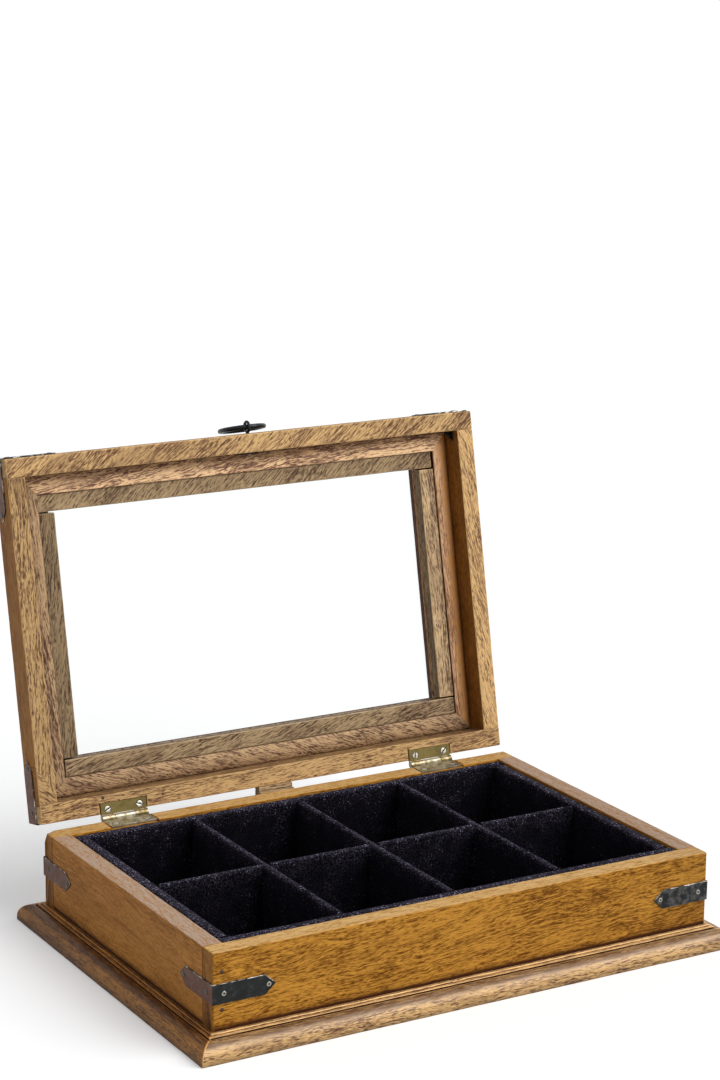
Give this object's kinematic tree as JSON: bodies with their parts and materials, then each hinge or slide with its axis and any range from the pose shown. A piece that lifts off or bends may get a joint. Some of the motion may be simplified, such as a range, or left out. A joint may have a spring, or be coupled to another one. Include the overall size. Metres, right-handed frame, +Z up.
{
  "type": "compartment box with glazed lid",
  "caption": "Low wooden box with a moulded plinth, velvet-lined compartments and a hinged lid framed around a glass pane, with iron corner straps and a ring pull.",
  "frame": {"origin": "centre of the plinth's footprint on the floor, under the middle of the body", "axes": "+X along the hinge line, to the right seen from the front; +Y to the hinged back; +Z up; the lid stands open at its stop"},
  "size_m": [0.3254, 0.2935, 0.2598],
  "materials": {
    "wood_body": "satin varnish over streaked mid-brown hardwood",
    "wood_side": "satin varnish over plainer brown hardwood",
    "wood_plinth": "satin varnish, worn on the edges",
    "wood_base": "plain unvarnished board",
    "wood_lid": "satin varnish over light tan hardwood",
    "wood_moulding": "satin varnish over red-brown hardwood",
    "wood_stop": "dull varnish",
    "velvet": "short-pile velvet over board",
    "glass": "clear float glass",
    "iron": "blackened sheet iron with bright worn edges",
    "iron_wire": "black wire with a soft shine",
    "brass": "dulled olive brass",
    "screw_metal": "bright worn screw heads",
    "pin_metal": "drawn wire"
  },
  "bodies": {
    "box": {"front_wall": "wood_body", "back_wall": "wood_body", "left_wall": "wood_side", "right_wall": "wood_side", "base_panel": "wood_base", "front_plinth": "wood_plinth", "back_plinth": "wood_plinth", "left_plinth": "wood_plinth", "right_plinth": "wood_plinth", "tray_floor": "velvet", "tray_front": "velvet", "tray_back": "velvet", "tray_left": "velvet", "tray_right": "velvet", "long_divider": "velvet", "cross_divider_left": "velvet", "cross_divider_middle": "velvet", "cross_divider_right": "velvet", "box_strap_front_left": "iron", "box_strap_front_right": "iron", "box_strap_back_right": "iron", "box_strap_back_left": "iron", "box_strap_nails": "iron", "left_hinge_box_leaf": "brass", "left_hinge_pin": "pin_metal", "right_hinge_box_leaf": "brass", "right_hinge_pin": "pin_metal", "box_hinge_screws": "screw_metal", "box_stop": "wood_stop"},
    "lid": {"lid_front_rail": "wood_lid", "lid_back_rail": "wood_lid", "lid_left_rail": "wood_lid", "lid_left_patch": "wood_lid", "lid_right_rail": "wood_lid", "lid_front_moulding": "wood_moulding", "lid_back_moulding": "wood_moulding", "lid_left_moulding": "wood_moulding", "lid_right_moulding": "wood_moulding", "glass_pane": "glass", "front_bead": "wood_lid", "back_bead": "wood_lid", "left_bead": "wood_lid", "right_bead": "wood_lid", "lid_strap_front_left": "iron", "lid_strap_front_right": "iron", "lid_strap_back_right": "iron", "lid_strap_back_left": "iron", "lid_strap_nails": "iron", "left_hinge_lid_leaf": "brass", "right_hinge_lid_leaf": "brass", "lid_hinge_screws": "screw_metal", "lid_stop": "wood_stop", "pull_pin": "iron_wire"},
    "ring": {"pull_ring": "iron_wire"}
  },
  "joints": [
    {"name": "lid_hinge", "type": "hinge", "parent": "box", "child": "lid", "pos_m": [0, 0.10365, 0.0534], "axis": [1, 0, 0], "range_deg": [0, 101.5]},
    {"name": "ring_swing", "type": "hinge", "parent": "lid", "child": "ring", "pos_m": [0.004, 0.15449, 0.25613], "axis": [1, 0, 0], "range_deg": [0, 170]}
  ]
}
